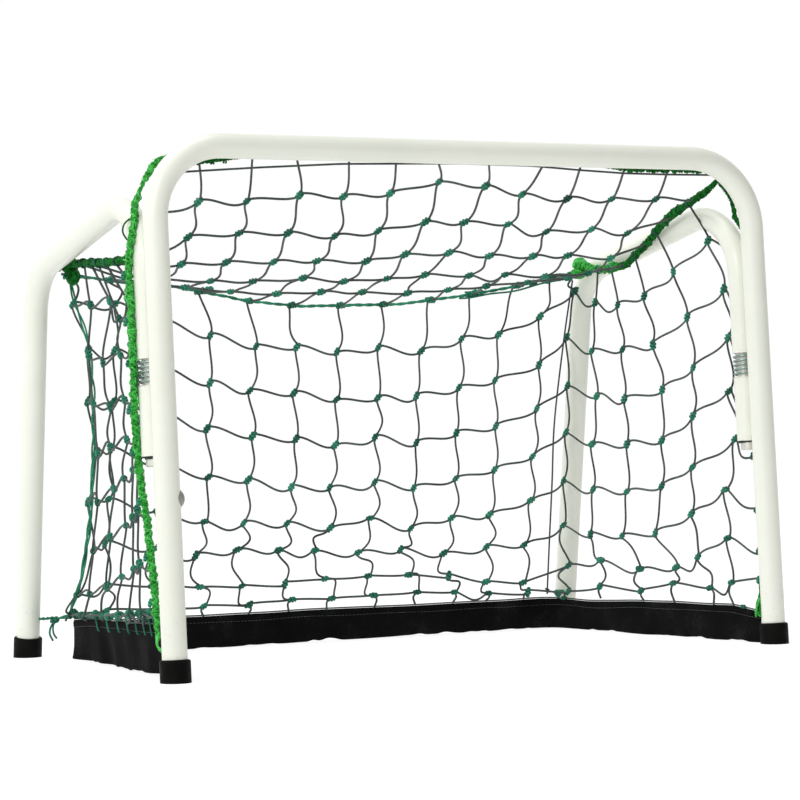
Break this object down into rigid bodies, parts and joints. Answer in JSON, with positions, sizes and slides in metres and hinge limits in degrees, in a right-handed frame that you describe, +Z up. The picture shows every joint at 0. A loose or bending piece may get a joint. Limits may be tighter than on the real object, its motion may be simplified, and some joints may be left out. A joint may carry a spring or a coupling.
{
  "type": "folding street hockey goal",
  "caption": "Small folding goal: bent tube front frame, two rear side frames on spring-locked swivels, knotted net with rope lashings and a fabric skirt at its foot.",
  "frame": {"origin": "on the ground under the middle of the goal: half way between the posts and half way between the front and rear foot caps", "axes": "+X to the right as a player faces the mouth, +Y to the back of the goal, +Z up"},
  "size_m": [0.662, 0.3889, 0.4712],
  "materials": {
    "frame_paint": "satin powder coat, warm white",
    "rubber_black": "matt moulded rubber",
    "zinc_steel": "zinc plated",
    "spring_steel": "zinc plated drawn wire",
    "bumper_grey": "matt",
    "net_twine": "braided twine",
    "lashing_bright": "wound polypropylene rope",
    "lashing_dark": "wound polypropylene rope",
    "skirt_cloth": "woven, hemmed"
  },
  "bodies": {
    "root": {"front_frame": "frame_paint", "foot_cap_front_left": "rubber_black", "foot_cap_front_right": "rubber_black", "pivot_sleeve_left": "frame_paint", "pivot_sleeve_right": "frame_paint", "post_bumper": "bumper_grey", "crossbar_rope": "net_twine", "net_top": "net_twine", "net_back": "net_twine", "net_left": "net_twine", "net_right": "net_twine", "rear_rope": "net_twine", "ground_rope": "net_twine", "side_lashing_left": "lashing_dark", "side_lashing_right": "lashing_dark", "post_lashing_left": "lashing_bright", "post_lashing_right": "lashing_bright", "skirt": "skirt_cloth"},
    "swivel_left": {"thrust_washer_left": "zinc_steel", "lock_spring_left": "spring_steel"},
    "rear_left": {"rear_frame_left": "frame_paint", "arm_plug_left": "zinc_steel", "pivot_rod_left": "zinc_steel", "lock_pin_left": "zinc_steel", "foot_cap_rear_left": "rubber_black", "corner_tie_left": "lashing_dark", "foot_tie_left": "net_twine", "corner_seam_left": "net_twine"},
    "swivel_right": {"thrust_washer_right": "zinc_steel", "lock_spring_right": "spring_steel"},
    "rear_right": {"rear_frame_right": "frame_paint", "arm_plug_right": "zinc_steel", "pivot_rod_right": "zinc_steel", "lock_pin_right": "zinc_steel", "foot_cap_rear_right": "rubber_black", "corner_tie_right": "lashing_dark", "foot_tie_right": "net_twine", "corner_seam_right": "net_twine"}
  },
  "joints": [
    {"name": "left_fold", "type": "hinge", "parent": "root", "child": "swivel_left", "pos_m": [-0.311, -0.14196, 0.25213], "axis": [0, -0.0593, -0.9982], "range_deg": [0, 88], "deforming": ["net_top", "net_back", "rear_rope", "ground_rope", "skirt", "net_left", "side_lashing_left", "corner_seam_left"]},
    {"name": "left_press", "type": "slide", "parent": "swivel_left", "child": "rear_left", "axis": [0, 0.0593, 0.9982], "range_m": [-0.006, 0], "stiffness_N_per_m": 2500, "springref_m": 0.008, "deforming": ["lock_spring_left", "net_top", "net_back", "rear_rope", "ground_rope", "skirt", "net_left", "side_lashing_left", "corner_seam_left"]},
    {"name": "right_fold", "type": "hinge", "parent": "root", "child": "swivel_right", "pos_m": [0.311, -0.14196, 0.25213], "axis": [0, 0.0593, 0.9982], "range_deg": [0, 83], "deforming": ["net_top", "net_back", "rear_rope", "ground_rope", "skirt", "net_right", "side_lashing_right", "corner_seam_right"]},
    {"name": "right_press", "type": "slide", "parent": "swivel_right", "child": "rear_right", "axis": [0, 0.0593, 0.9982], "range_m": [-0.006, 0], "stiffness_N_per_m": 2500, "springref_m": 0.008, "deforming": ["lock_spring_right", "net_top", "net_back", "rear_rope", "ground_rope", "skirt", "net_right", "side_lashing_right", "corner_seam_right"]}
  ]
}
